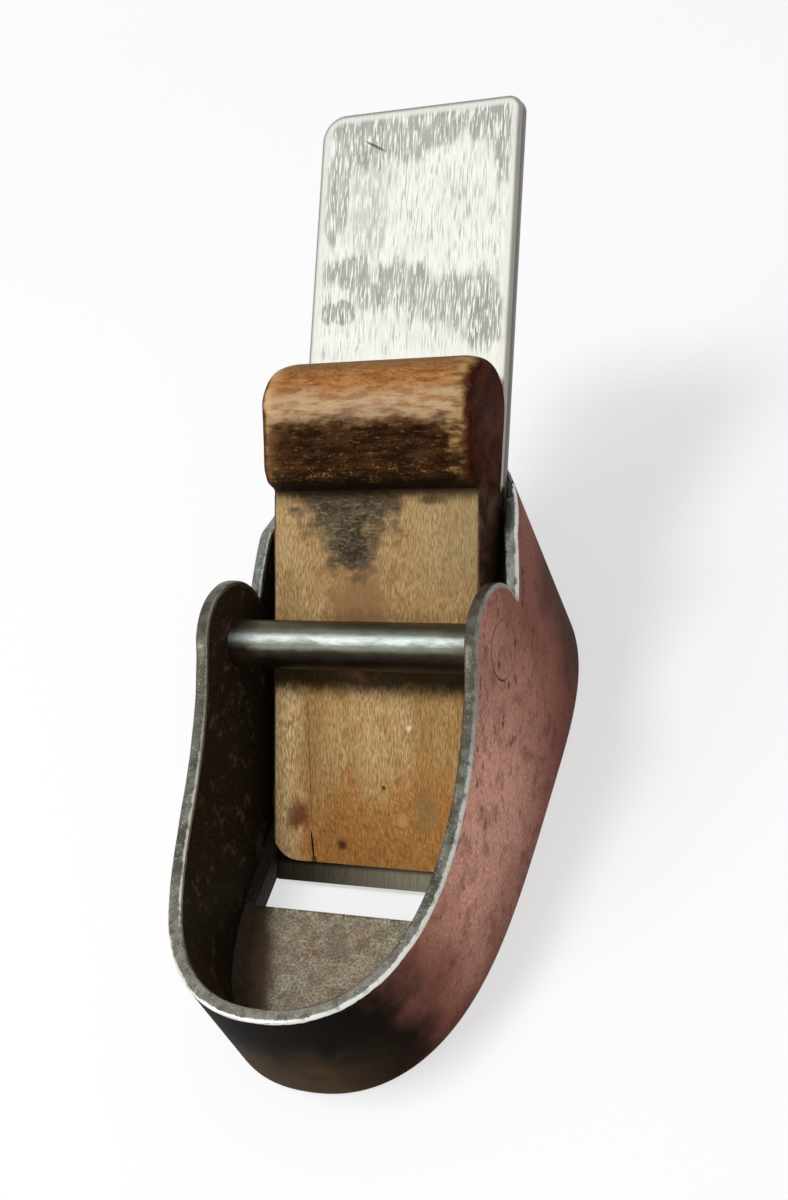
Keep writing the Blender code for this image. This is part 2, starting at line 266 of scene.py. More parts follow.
def flat_strip():
    """Right half of the strip while flat, its rim rounded: X runs along it and Y into the wall."""
    bm = bmesh.new()
    on_rim = bm.verts.layers.int.new("on_rim")
    hole_at = strip_distance(pin_station)
    outline = [(strip_distance(station), height) for station, height in rim_outline()]
    rim = [bm.verts.new((distance, 0, height)) for distance, height in outline]
    for vert in rim:
        vert[on_rim] = 1
    crown = min(range(len(rim)), key=lambda i: abs(outline[i][0] - hole_at))
    toe_foot, pin_foot, heel_foot = [bm.verts.new((x, 0, 0)) for x in (0, hole_at, strip_length)]
    quarter = math.pi / 2
    hole = (hole_at, pin_height)
    hole_radius = PIN_RADIUS + PIN_FIT
    front_arc = arc(hole, hole_radius, -quarter, -3 * quarter, HOLE_STEPS)
    rear_arc = arc(hole, hole_radius, quarter, -quarter, HOLE_STEPS)[1:-1]
    front, rear = [[bm.verts.new((x, 0, z)) for x, z in half] for half in (front_arc, rear_arc)]
    cheeks = [bm.faces.new([toe_foot, pin_foot] + front + rim[crown::-1]),
              bm.faces.new([pin_foot, heel_foot] + rim[:crown - 1:-1] + [front[-1]] + rear + [front[0]])]
    thicken(bm, cheeks, (0, WALL, 0))
    for vert in front + rear:
        away = Vector((vert.co.x - hole_at, 0, vert.co.z - pin_height)).normalized()
        vert.co += away * (pin_head_radius - PIN_RADIUS)
    level = [e for e in bm.edges if abs(e.verts[0].co.y - e.verts[1].co.y) < MERGE]
    top = [e for e in level if all(v[on_rim] for v in e.verts)]
    foot = [e for e in level if all(v.co.z < MERGE for v in e.verts)]
    round_off(bm, top, RIM_ROUND, RIM_SEGMENTS)
    round_off(bm, foot, FOOT_ROUND, FOOT_SEGMENTS)
    return bm, np.array(outline)


def distance_to(line, points):
    """Shortest distance of each point to a line of straight runs."""
    nearest = np.full(len(points), np.inf)
    for start, end in zip(line, line[1:]):
        run = end - start
        share = np.clip((points - start) @ run / max(run @ run, MERGE ** 2), 0, 1)
        nearest = np.minimum(nearest, np.linalg.norm(points - start - share[:, None] * run, axis=1))
    return nearest


def add_object(name, data):
    """A new object in the scene."""
    made = bpy.data.objects.new(name, data)
    bpy.context.scene.collection.objects.link(made)
    return made


def add_piece(name, bm, material, body, node):
    """Makes a mesh, its faces turned outwards, an object that rides on a body and stands for a node."""
    bmesh.ops.recalc_face_normals(bm, faces=bm.faces)
    mesh = bpy.data.meshes.new(name)
    bm.to_mesh(mesh)
    bm.free()
    mesh.materials.append(material)
    mesh.shade_smooth()
    mesh.set_sharp_from_angle(angle=SHARP_ANGLE)
    piece = add_object(name, mesh)
    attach(piece, body)
    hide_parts(node)


class Shade:
    """One socket of a material; sums and products with numbers or other sockets add the Math nodes."""

    def __init__(self, tree, socket=None):
        self.tree = tree
        self.socket = socket

    def feed(self, node, sockets):
        """Links or sets sockets of a node."""
        for name, value in sockets.items():
            if isinstance(value, Shade):
                self.tree.links.new(value.socket, node.inputs[name])
            else:
                node.inputs[name].default_value = value

    def node(self, kind, settings, sockets, output=0):
        """Adds a node, its settings first, then the values or links of its sockets; gives one output."""
        made = self.tree.nodes.new("ShaderNode" + kind)
        for name, setting in settings.items():
            setattr(made, name, setting)
        self.feed(made, sockets)
        return Shade(self.tree, made.outputs[output])

    def maths(self, operation, first, second):
        return self.node("Math", {"operation": operation}, {0: first, 1: second})

    def __add__(self, other):
        return self.maths('ADD', self, other)

    def __radd__(self, other):
        return self.maths('ADD', other, self)

    def __sub__(self, other):
        return self.maths('SUBTRACT', self, other)

    def __rsub__(self, other):
        return self.maths('SUBTRACT', other, self)

    def __mul__(self, other):
        return self.maths('MULTIPLY', self, other)

    def __rmul__(self, other):
        return self.maths('MULTIPLY', other, self)

    def __abs__(self):
        return self.maths('ABSOLUTE', self, 0)

    def root(self):
        return self.maths('SQRT', self, 0)

    def or_else(self, other):
        """The larger of two masks."""
        return self.maths('MAXIMUM', self, other)

    def step(self, low, high):
        """Soft step from 0 at low to 1 at high."""
        return self.node("MapRange", {"interpolation_type": 'SMOOTHSTEP'},
                         {"Value": self, "From Min": low, "From Max": high})

    def mix(self, under, over):
        """Colour that goes from under to over as this mask goes from 0 to 1."""
        return self.node("Mix", {"data_type": 'RGBA'}, {0: self, 6: colour(under), 7: colour(over)}, 2)

    def coated(self, *coats):
        """This colour with others laid over it in turn, each by its own mask."""
        result = self
        for mask, shade in coats:
            result = mask.mix(result, shade)
        return result

    def parts(self):
        """The three coordinates of a vector."""
        return [self.node("SeparateXYZ", {}, {"Vector": self}, axis) for axis in range(3)]

    def turned(self, place, angles):
        """These coordinates measured from a place, along axes turned by angles."""
        return self.node("Mapping", {"vector_type": 'TEXTURE'},
                         {"Vector": self, "Location": place, "Rotation": angles})

    def noise(self, size, detail, stretch=(1, 1, 1)):
        """Noise from 0 to 1 with grain of a size in metres, lengthened on each axis by stretch."""
        scale = [1 / (size * longer) for longer in stretch]
        place = self.node("Mapping", {}, {"Vector": self, "Scale": scale})
        return place.node("TexNoise", {}, {"Vector": place, "Scale": 1.0, "Detail": detail})

    def spot(self, middle, size, turn=0):
        """1 at a point of the first two coordinates, 0 on a turned ellipse round it, less outside."""
        if turn:
            return self.turned((*middle, 0), (0, 0, turn)).spot((0, 0), size)
        offset = self.node("VectorMath", {"operation": 'SUBTRACT'}, {0: self, 1: (*middle, 0)})
        share = self.node("VectorMath", {"operation": 'MULTIPLY'},
                          {0: offset, 1: (1 / size[0], 1 / size[1], 0)})
        return 1 - share.length()

    def length(self):
        return self.node("VectorMath", {"operation": 'LENGTH'}, {0: self}, "Value")

    def attribute(self, name):
        """A value stored on the mesh."""
        return self.node("Attribute", {"attribute_name": name}, {}, "Fac")


def colour(shade):
    """Linear colour of a shade on the usual scale of 0 to 255; a socket stays as it is."""
    if isinstance(shade, Shade):
        return shade
    levels = [level / 255 for level in shade]
    return tuple(((s + 0.055) / 1.055) ** 2.4 if s > 0.04 else s / 12.92 for s in levels) + (1.0,)


def new_material(name):
    """A node material and its Object coordinates."""
    material = bpy.data.materials.new(name)
    material.use_nodes = True
    here = Shade(material.node_tree).node("TexCoord", {}, {}, "Object")
    return material, here


def finish(here, height, depth, sockets):
    """Feeds the material's shader, with a bump of the given depth from a height between 0 and 1."""
    bump = here.node("Bump", {}, {"Height": height, "Distance": depth})
    here.feed(here.tree.nodes["Principled BSDF"], {**sockets, "Normal": bump})


def cheek_skin(here):
    """Red-brown skin of the outside; painted light makes it pink and palest along the cheeks, painted
    shade black on the toe and dark at the heel; and its fibre.
    """
    side, station, height = here.parts()
    slanted = here.turned((0, 0, 0), (POLISH_SLANT, 0, 0))
    fibre = slanted.noise(0.00011, 3, (1, 4, 1))
    spots = slanted.noise(0.0011, 4, (1, 2, 1))
    blot = here.noise(0.0024, 4)
    drift = here.noise(0.0070, 4) - 0.5
    moved = station + drift * 0.016
    rise = height - pin_height
    behind = station - pin_station
    ring = abs((rise * rise + behind * behind).root() - pin_head_radius).step(*RING_WIDTH)
    lobe = height.step(*LOBE_DARK_HEIGHT) * station.step(*LOBE_DARK_STATION)
    # Painted sheen along the middle of the cheek, over a pink cast that is painted light.
    skin = (moved.step(*SHEEN_FRONT) * moved.step(*SHEEN_REAR)).mix(SKIN_RED, SKIN_SHEEN).coated(
        ((height + drift * 0.012).step(*FOOT_DARK) * 0.65, SKIN_FOOT),
        (fibre.step(0.32, 0.68) * 0.58, SKIN_FIBRE),
        (blot.step(0.50, 0.70) * 0.46, SKIN_BLOT),
        (spots.step(0.58, 0.72) * (0.35 + height.step(*MARKED_HEIGHT) * 0.5), SKIN_MARK),
        (lobe * 0.35, SKIN_LOBE),
        # Dark joint round the pin's end, its front and upper part darkened as painted shade.
        (ring * (rise * 0.5 - behind).step(*RING_SHADED_SIDE) * 0.8, SKIN_RING),
        # Painted shade towards the heel, lessening higher up.
        (moved.step(*HEEL_SHADE) * (0.85 - height.step(*HEEL_PALE_HEIGHT) * 0.80), SKIN_HEEL_SHADE),
    )
    low_front = (height + drift * 0.016).step(*TOE_LOW) * abs(side - TOE_MIDDLE).step(*TOE_HALF)
    front = (low_front * (0.4 + blot * 0.8)).mix(TOE_SHADE_BLACK, TOE_BROWN)
    front = (fibre.step(0.45, 0.75) * 0.2).mix(front, TOE_FIBRE)
    # Painted shade: the toe's front is near black, browner low in its middle.
    return (station + drift * 0.010).step(*TOE_SHADE).mix(skin, front), fibre


def band_steel():
    """Red-brown skin outside, black inside, and a worn steel rim with a painted highlight along one
    edge, brightest at the toe, and painted glints.
    """
    material, here = new_material("band_steel")
    rim = here.attribute("rim")
    depth = here.attribute("inside")
    skin, fibre = cheek_skin(here)
    side, station, height = here.parts()
    grain = here.noise(0.00025, 3)
    hammer = here.noise(0.0009, 4)
    tarnish = here.noise(0.0022, 4)
    rust = tarnish.step(0.52, 0.68) * hammer.step(0.40, 0.60) * 0.6
    old = rust.mix(grain.step(0.35, 0.75).mix(INSIDE_BLACK, INSIDE_GRAIN), INSIDE_RUST)
    worn = (rim + (hammer - 0.5) * 0.0004).step(*RIM_WORN)
    toe = station.step(*TOE_SHINE)
    horn = station.step(*[pin_station + behind for behind in HORN_BEHIND_PIN])
    high = height.step(*RIM_LOBE_HEIGHT) * (1 - horn)
    left = side.step(*LEFT_SIDE) * station.step(*LEFT_STATION)
    # Painted highlight: a bright line along the rim's outer edge on the right and its inner edge on the
    # left, strongest at the toe, with painted glints.
    handled = depth.step(*OUTER_HIGHLIGHT) * (1 - left) + depth.step(*INNER_HIGHLIGHT) * left
    bright = (handled + (hammer - 0.5) * 1.8).step(0.30, 1.00) * (0.58 + toe * 0.38 - high * 0.46)
    steel = tarnish.step(0.40, 0.60).mix(RIM_GREY, RIM_TARNISH).coated(
        (high * 0.65, RIM_LOBE),
        (toe * 0.45, RIM_TOE),
        (horn * 0.4, RIM_HORN),
        (hammer.step(0.50, 0.34) * 0.5, RIM_HOLLOW),
        (bright, RIM_HIGHLIGHT),
        (grain.step(0.59, 0.70) * (0.55 - high * 0.4), RIM_GLINT),
    )
    finish(here, grain * 0.5 + fibre * 0.3 + worn * hammer, BAND_BUMP, {
        "Base Color": worn.mix(depth.step(*WALL_MIDDLE).mix(skin, old), steel),
        "Metallic": 0.25 + worn * 0.7,
        "Roughness": 0.58 - worn * 0.30 + grain * 0.12,
        "Specular IOR Level": 0.02,
    })
    return material


strip, rim_line = flat_strip()
slice_up(strip, 0, 0, strip_length, COLUMN_STEP)
slice_up(strip, 2, 0, pin_height + LOBE_ABOVE_PIN + LOBE_RADIUS, ROW_STEP)
ends = [face for face in strip.faces if all(v.co.x < MERGE for v in face.verts)
        or all(v.co.x > strip_length - MERGE for v in face.verts)]
bmesh.ops.delete(strip, geom=ends, context='FACES')
rim_layer, inside_layer = [strip.verts.layers.float.new(name) for name in ("rim", "inside")]
flat_points = np.array([(v.co.x, v.co.z) for v in strip.verts])
for vert, gap in zip(strip.verts, distance_to(rim_line, flat_points)):
    vert[rim_layer] = gap
    vert[inside_layer] = vert.co.y / WALL
    dip = RIM_WEAR * (0.5 + 0.5 * noise.noise(vert.co / RIM_WEAR_LENGTH))
    vert.co.z -= dip * max(0, 1 - gap / RIM_WEAR_REACH)
    bent = bend(vert.co.x, vert.co.y)
    low_rim = bed_height(bent.y, PIN_FIT)
    notched = bent.x < half_mouth and bent.y > widest_station
    vert.co = (*bent, min(vert.co.z, low_rim) if notched else vert.co.z)
bmesh.ops.mirror(strip, geom=strip.verts[:] + strip.edges[:] + strip.faces[:], axis='X',
                 merge_dist=MERGE)
bmesh.ops.remove_doubles(strip, verts=strip.verts, dist=MERGE)
add_piece("band", strip, band_steel(), "body", "side_band")

# Sole
# A plate of steel let into the foot of the band and brazed there, with a mouth sawn as wide as the iron.
# Its upper face was never finished and is pitted; the sole below is smooth from use.
SOLE_THICKNESS = 0.0026
MOUTH_GAP = 0.0049
MOUTH_EDGE_ROUND = 0.0002
MOUTH_EDGE_SEGMENTS = 2
SOLE_FIT = 0.00004
SOLE_CELL = 0.0008
PIT_DEPTH = 0.00024
PIT_SIZE = 0.0016
PLATE_STEPS = 90
SOLE_BUMP = 0.0009
# Painted shadow that the cheeks cast on the sole: the slant of its edge, its edges, and its blend beside
# the mouth.
SHADOW_SLANT = 0.33
SHADOW_LEFT = (-0.0108, -0.0136)
SHADOW_RIGHT = (0.0125, 0.0150)
SHADOW_BLEND = 0.0010

SOLE_WARM = (194, 173, 150)
SOLE_GREEN = (200, 193, 166)
SOLE_GRAIN = (104, 90, 73)
SOLE_PIT = (98, 85, 69)
SOLE_GLINT = (234, 230, 214)
# Colours of the painted shadow of the cheeks.
SHADOW_BROWN = (74, 58, 45)
SHADOW_BLACK = (32, 25, 19)

mouth_front = edge.y - MOUTH_GAP


def inner_plan(gap):
    """Closed plan of the space inside the band, a gap away from its wall."""
    distances = [strip_length * i / PLATE_STEPS for i in range(PLATE_STEPS + 1)]
    right = [bend(distance, WALL + gap) for distance in distances]
    left = [Vector((-p.x, p.y)) for p in reversed(right[1:-1])]
    return right + left


def flat_face(points):
    """A new mesh of one face through points."""
    bm = bmesh.new()
    bm.faces.new([bm.verts.new(point) for point in points])
    return bm


def sole_mesh():
    """The plate with its mouth, sloped like the bed behind, and the pits of its upper face."""
    mouth_rear = bed_station(0, 0)
    bm = flat_face([(*point, 0) for point in inner_plan(SOLE_FIT)])
    for station in (mouth_front, mouth_rear):
        cut(bm, (0, station, 0), (0, 1, 0))
    for side in (half_mouth, -half_mouth):
        cut(bm, (side, 0, 0), (1, 0, 0))
    slot = [f for f in bm.faces if abs(f.calc_center_median().x) < half_mouth
            and mouth_front < f.calc_center_median().y < mouth_rear]
    bmesh.ops.delete(bm, geom=slot, context='FACES')
    for vert in thicken(bm, bm.faces[:], (0, 0, SOLE_THICKNESS)):
        if abs(vert.co.y - mouth_rear) < MERGE and abs(vert.co.x) < half_mouth + MERGE:
            vert.co.y = bed_station(SOLE_THICKNESS, 0)
    rim = [e for e in bm.edges if all(abs(v.co.y - mouth_front) < MERGE for v in e.verts)
           and all(abs(v.co.x) < half_mouth + MERGE for v in e.verts)
           and abs(e.verts[0].co.z - e.verts[1].co.z) < MERGE]
    round_off(bm, rim, MOUTH_EDGE_ROUND, MOUTH_EDGE_SEGMENTS)
    slice_up(bm, 0, -half_body, half_body, SOLE_CELL)
    slice_up(bm, 1, band_low.y, mouth_front - MOUTH_EDGE_ROUND, SOLE_CELL)
    for vert in bm.verts:
        if vert.co.z > SOLE_THICKNESS - MERGE:
            vert.co.z -= PIT_DEPTH * (1 + noise.noise(vert.co / PIT_SIZE))
    return bm


def sole_steel():
    """Pitted grey-brown steel with bright specks as painted glints and a green tinge, black along the
    cheeks as their painted shadow.
    """
    material, here = new_material("sole_steel")
    side, station, _ = here.parts()
    pits = here.noise(PIT_SIZE, 5)
    grain = here.noise(0.00030, 3)
    stain = here.noise(0.0050, 3)
    # Bright specks of bare steel, their whiteness a painted glint.
    sparkle = (grain * 0.6 + pits * 0.4).step(0.58, 0.66)
    drift = (stain - 0.5) * 0.003
    # Painted shadow of the cheeks on the sole, darkest beside the mouth.
    toward_toe = (mouth_front - station).or_else(0)
    left = (side - toward_toe * SHADOW_SLANT + drift).step(*SHADOW_LEFT)
    grime = left.or_else((side + drift).step(*SHADOW_RIGHT))
    shade_beside_mouth = station.step(mouth_front - SHADOW_BLEND, mouth_front + SHADOW_BLEND)
    base = stain.step(0.35, 0.65).mix(SOLE_WARM, SOLE_GREEN).coated(
        (grain.step(0.60, 0.36) * 0.62, SOLE_GRAIN),
        (pits.step(0.56, 0.36) * 0.40, SOLE_PIT),
        (sparkle * 0.85, SOLE_GLINT),
        (grime * 0.93, shade_beside_mouth.mix(SHADOW_BROWN, SHADOW_BLACK)),
    )
    finish(here, pits * 0.6 + grain * 0.4, SOLE_BUMP, {
        "Base Color": base,
        "Metallic": 0.35 + sparkle * 0.4 - grime * 0.3,
        "Roughness": 0.40 - sparkle * 0.10 + grime * 0.20,
        "Specular IOR Level": 0.2,
    })
    return material


add_piece("sole_plate", sole_mesh(), sole_steel(), "body", "sole")

# Bed block
# A block of hardwood behind the mouth, sawn to the plan of the heel and glued in.
# Its sloping top is the bed that carries the iron.
NOSE_HEIGHT = 0.0015
BED_GAP = 0.00008
BED_BUMP = 0.00005

BED_DARK = (62, 40, 27)
BED_LIGHT = (98, 66, 42)
BED_FIBRE = (44, 28, 19)


def bed_block_mesh():
    """The block cut to the slope of the bed and to a short upright nose behind the mouth."""
    foot = SOLE_THICKNESS + SOLE_FIT
    nose = bed_station(foot + NOSE_HEIGHT, BED_GAP)
    bm = flat_face([(*point, foot) for point in inner_plan(SOLE_FIT)])
    thicken(bm, bm.faces[:], (0, 0, band_high.z))
    cut(bm, (0, nose, 0), (0, -1, 0), clear=True)
    slope = (0, -math.sin(bed_angle), math.cos(bed_angle))
    cut(bm, (0, nose, foot + NOSE_HEIGHT), slope, clear=True)
    return bm


def bed_wood():
    """Dark, oily hardwood with its grain running from front to back."""
    material, here = new_material("bed_wood")
    fibre = here.noise(0.0003, 3, (1, 20, 1))
    tone = here.noise(0.0040, 3, (1, 5, 1))
    base = tone.step(0.3, 0.7).mix(BED_DARK, BED_LIGHT)
    finish(here, fibre, BED_BUMP, {
        "Base Color": fibre.step(0.55, 0.7).mix(base, BED_FIBRE),
        "Roughness": 0.6 + fibre * 0.15,
    })
    return material


add_piece("bed", bed_block_mesh(), bed_wood(), "body", "bed_block")

# Cross pin
# A round steel bar across the plane that the wedge bears against; its ends are hammered into countersunk
# holes in both cheeks and filed flush. It is dark; its top is painted light, with a painted highlight.
PIN_HEAD_DEPTH = 0.0009
PIN_TURNS = 64
PIN_SLICES = 90
PIN_DENT = 0.00004
PIN_DENT_SIZE = 0.0020
PIN_BUMP = 0.00005
# Where the painted highlight and sheen lie on the bar, and where its top is painted lighter.
SHINE_LEAN = math.radians(24)
SHINE_FACING = (0.0, 0.0010)
SHINE_WIDTH = (0.0008, 0.0001)
SHEEN_WIDTH = (0.0016, 0.0004)
PIN_LIT_HEIGHT = (0.0017, 0.0028)
RUSTY_END = (0.0110, 0.0160)
FILED_DEPTH = (0.0005, 0.0002)

# The bar's underside is black as painted shade, and its top lighter as painted light.
PIN_SHADED_BLACK = (38, 32, 24)
PIN_LIT_TOP = (86, 81, 65)
PIN_MOTTLE = (58, 53, 43)
PIN_RUST = (66, 49, 38)
PIN_SHEEN = (132, 142, 132)
SHINE_DULL = (206, 218, 210)
SHINE_BRIGHT = (240, 247, 242)


def pin_mesh():
    """The bar turned about its axis, with spread ends and the small dents of handling."""
    end = half_body - PIN_FIT
    shank = end - PIN_HEAD_DEPTH
    profile = [(shank * (2 * i / PIN_SLICES - 1), PIN_RADIUS) for i in range(PIN_SLICES + 1)]
    profile = [(-end, pin_head_radius - PIN_FIT)] + profile + [(end, pin_head_radius - PIN_FIT)]
    bm = bmesh.new()
    ring = [bm.verts.new((x, pin_station, pin_height + radius)) for x, radius in profile]
    runs = [bm.edges.new(pair) for pair in zip(ring, ring[1:])]
    bmesh.ops.spin(bm, geom=ring + runs, cent=(0, pin_station, pin_height), axis=(1, 0, 0),
                   angle=math.tau, steps=PIN_TURNS, use_merge=True)
    bmesh.ops.remove_doubles(bm, verts=bm.verts, dist=MERGE)
    bmesh.ops.holes_fill(bm, edges=bm.edges)
    for vert in bm.verts:
        if abs(vert.co.x) < shank - WALL:
            out = Vector((0, vert.co.y - pin_station, vert.co.z - pin_height)).normalized()
            vert.co -= out * PIN_DENT * (0.5 + 0.5 * noise.noise(vert.co / PIN_DENT_SIZE))
    return bm


def pin_steel():
    """Dark steel with painted light on its top, painted shade below and a painted highlight; brown at
    the cheeks; its filed ends match them.
    """
    material, here = new_material("pin_steel")
    side, _, height = here.parts()
    mottle = here.noise(0.0014, 4, (2, 1, 1))
    hair = here.noise(0.00016, 2, (8, 1, 1))
    across = abs(side)
    _, beside, out = here.turned((0, pin_station, pin_height), (SHINE_LEAN, 0, 0)).parts()
    aside = abs(beside + (mottle - 0.5) * 0.0005 + (hair - 0.5) * 0.0003)
    facing = out.step(*SHINE_FACING)
    rust = (across + (mottle - 0.5) * 0.006).step(*RUSTY_END)
    clean = 1 - rust * 0.4
    # Painted light and shade: the bar's top lighter and its underside black, under a painted highlight
    # and sheen.
    upper = (height - pin_height + (mottle - 0.5) * 0.0006).step(*PIN_LIT_HEIGHT)
    shine = facing * aside.step(*SHINE_WIDTH) * clean * (0.6 + mottle.step(0.35, 0.55) * 0.4)
    filed = across.step(*[half_body - depth for depth in FILED_DEPTH])
    base = upper.mix(PIN_SHADED_BLACK, PIN_LIT_TOP).coated(
        (mottle.step(0.40, 0.65) * 0.35, PIN_MOTTLE),
        (rust * 0.6, PIN_RUST),
        (facing * aside.step(*SHEEN_WIDTH) * clean * 0.75, PIN_SHEEN),
        (shine, hair.step(0.2, 0.7).mix(SHINE_DULL, SHINE_BRIGHT)),
        (filed, cheek_skin(here)[0]),
    )
    finish(here, mottle * 0.6 + hair * 0.4, PIN_BUMP, {
        "Base Color": base,
        "Metallic": 0.9 - filed * 0.65 - rust * 0.3,
        "Roughness": 0.36 + mottle * 0.10 + filed * 0.14,
        "Specular IOR Level": 0.1,
    })
    return material


add_piece("pin", pin_mesh(), pin_steel(), "body", "cross_pin")

# Iron
# A flat blade of tool steel, ground on its lower face and left with rounded upper corners.
# It is polished bright along its length and smudged by fingers; its sides are brown.
LEFT_CORNER = 0.0033
RIGHT_CORNER = 0.0019
CORNER_STEPS = 12
FACE_CHAMFER = 0.0005
CHAMFER_SEGMENTS = 3
BEVEL_ANGLE = math.radians(25)
IRON_BUMP = 0.00002

# Smudges as middle, half size and strength, across the iron and up it from its edge.
DULL_PLACES = (
    ((-0.0020, 0.0754), (0.0072, 0.0038), 0.90),
    ((0.0065, 0.0732), (0.0066, 0.0042), 0.90),
    ((0.0108, 0.0704), (0.0034, 0.0046), 1.0),
    ((-0.0102, 0.0724), (0.0030, 0.0018), 1.0),
    ((-0.0090, 0.0777), (0.0042, 0.0026), 0.95),
    ((-0.0030, 0.0968), (0.0180, 0.0058), 0.90),
    ((-0.0115, 0.0890), (0.0030, 0.0085), 0.85),
    ((-0.0060, 0.0860), (0.0042, 0.0085), 0.55),
    ((0.0090, 0.0975), (0.0066, 0.0050), 0.95),
    ((0.0122, 0.0930), (0.0022, 0.0060), 0.85),
)
NICK = ((-0.0061, 0.0941), (0.0022, 0.00022), math.atan2(-0.0020, 0.0037))
ABOVE_WEDGE = (0.0655, 0.0680)
POLISHED_EDGE = (0.0015, 0.0009)
# How far in from the edge the painted shade of its rounding reaches.
EDGE_SHADE_WIDTH = (0.0007, 0.0002)
TIP_TOP = (0.0042, 0.0032)
# Painted shadow on the iron along the wedge's tip.
WEDGE_SHADOW_FOOT = (0.0018, 0.0025)
WEDGE_SHADOW_TOP = (0.0044, 0.0034)
SIDE_DEPTH = (-0.0004, -0.0007)

IRON_BRIGHT = (250, 250, 241)
IRON_DULL = (176, 178, 170)
IRON_DULLEST = (152, 156, 149)
IRON_SCRATCH = (150, 146, 130)
IRON_NICK = (84, 86, 84)
IRON_POLISH = (236, 236, 229)
IRON_EDGE_SHADE = (108, 101, 94)
IRON_SIDE = (86, 76, 70)
# The scratched tip below the wedge, darkened as painted shade.
TIP_SHADE_DARK = (106, 99, 83)
TIP_SHADE_PALE = (132, 126, 108)
WEDGE_SHADOW_DARK = (34, 30, 24)

bed_place = Matrix.Translation(edge) @ Matrix.Rotation(bed_angle, 4, 'X')


def iron_mesh():
    """The blade in its own frame: X across, Y up its length, its upper face at Z = 0."""
    quarter = math.pi / 2
    left = (LEFT_CORNER - half_iron, iron_length - LEFT_CORNER)
    right = (half_iron - RIGHT_CORNER, iron_length - RIGHT_CORNER)
    outline = [(-half_iron, 0), (half_iron, 0)]
    outline += arc(right, RIGHT_CORNER, 0, quarter, CORNER_STEPS)
    outline += arc(left, LEFT_CORNER, quarter, 2 * quarter, CORNER_STEPS)
    bm = flat_face([(*point, -iron_thickness) for point in outline])
    thicken(bm, bm.faces[:], (0, 0, iron_thickness))
    rim = [e for e in bm.edges if abs(e.verts[0].co.z - e.verts[1].co.z) < MERGE
           and max(v.co.y for v in e.verts) > MERGE]
    round_off(bm, rim, FACE_CHAMFER, CHAMFER_SEGMENTS)
    cut(bm, (0, 0, 0), (0, -math.sin(BEVEL_ANGLE), -math.cos(BEVEL_ANGLE)), clear=True)
    bmesh.ops.transform(bm, matrix=bed_place, verts=bm.verts)
    return bm


def iron_steel():
    """Polished steel with lengthwise scratches, grey where fingers have dulled it, and brown sides;
    painted shade along its rounded edge, on its tip and where the wedge meets it.
    """
    material, here = new_material("iron_steel")
    local = here.turned(edge, (bed_angle, 0, 0))
    across, up, off = local.parts()
    streak = local.noise(0.00021, 3, (1, 12, 1))
    hair = local.noise(0.00009, 2, (1, 30, 1))
    smear = local.noise(0.0010, 4, (1, 9, 1))
    patch = local.noise(0.0050, 3, (1, 1.5, 1))
    drift = patch - 0.5
    dull = patch.step(0.40, 0.62) * 0.22
    for middle, size, strength in DULL_PLACES:
        smudge = local.spot(middle, size) + drift * 1.4 + (smear - 0.5)
        dull = dull.or_else(smudge.step(-0.10, 0.35) * strength)
    above = (up + drift * 0.006).step(*ABOVE_WEDGE)
    scored = streak.step(0.52, 0.38) * smear.step(0.32, 0.58) * (0.14 + above * 0.54)
    grey = (dull * above * (1 - streak.step(0.50, 0.59) * 0.95)).or_else(scored)
    corner = LEFT_CORNER + across.step(-half_iron, half_iron) * (RIGHT_CORNER - LEFT_CORNER)
    sideways = (abs(across) - half_iron + corner).or_else(0)
    upwards = (up - iron_length + corner).or_else(0)
    inset = corner - (sideways * sideways + upwards * upwards).root()
    polish = inset.step(*POLISHED_EDGE)
    tip = (up + drift * 0.001).step(*TIP_TOP)
    side = off.step(*SIDE_DEPTH)
    base = grey.mix(IRON_BRIGHT, smear.step(0.35, 0.65).mix(IRON_DULL, IRON_DULLEST)).coated(
        (hair.step(0.50, 0.72) * 0.18, IRON_SCRATCH),
        (local.spot(*NICK).step(0.0, 0.5) * 0.85, IRON_NICK),
        (polish * 0.8, IRON_POLISH),
        # Painted shade along the rounded edge.
        (inset.step(*EDGE_SHADE_WIDTH) * 0.8, IRON_EDGE_SHADE),
        # Tip below the wedge: scratched, and darker as painted shade.
        (tip, hair.step(0.3, 0.7).mix(TIP_SHADE_DARK, TIP_SHADE_PALE)),
        # Painted shadow where the wedge's tip meets the iron.
        (up.step(*WEDGE_SHADOW_FOOT) * up.step(*WEDGE_SHADOW_TOP) * 0.85, WEDGE_SHADOW_DARK),
        (side, IRON_SIDE),
    )
    finish(here, streak * 0.5 + hair * 0.5, IRON_BUMP, {
        "Base Color": base,
        "Metallic": 1.0 - side * 0.6,
        "Roughness": 0.26 + grey * 0.14 + tip * 0.15 - polish * 0.05,
    })
    return material


add_piece("iron_blade", iron_mesh(), iron_steel(), "iron", "iron")

# Wedge
# A wedge of hardwood with a rolled grip at its upper end, driven between the pin and the iron.
# Handling has rounded its corners and darkened the grip, and it has a drying crack at its tip.
# The grip's lower front is darker still as painted shade, and the face carries painted shadows.
WEDGE_UP_IRON = 0.0026
WEDGE_OFF_IRON = 0.0001
WEDGE_TIP_THICKNESS = 0.00135
WEDGE_TIP_CORNER = 0.0036
WEDGE_TIP_SEGMENTS = 6
WEDGE_TAPER = math.radians(7.2)
WEDGE_FACE_LENGTH = 0.0454
WEDGE_EDGE_ROUND = 0.0004
WEDGE_CELL = 0.0007
GRIP_LENGTH = 0.0161
GRIP_THICKNESS = 0.0122
GRIP_STEP = 0.0032
GRIP_LIP_LEAN = 0.0006
GRIP_LIP_ROUND = 0.0026
GRIP_ROOT_ROUND = 0.0005
GRIP_FROM_LIP = (-0.0006, 0.0012)
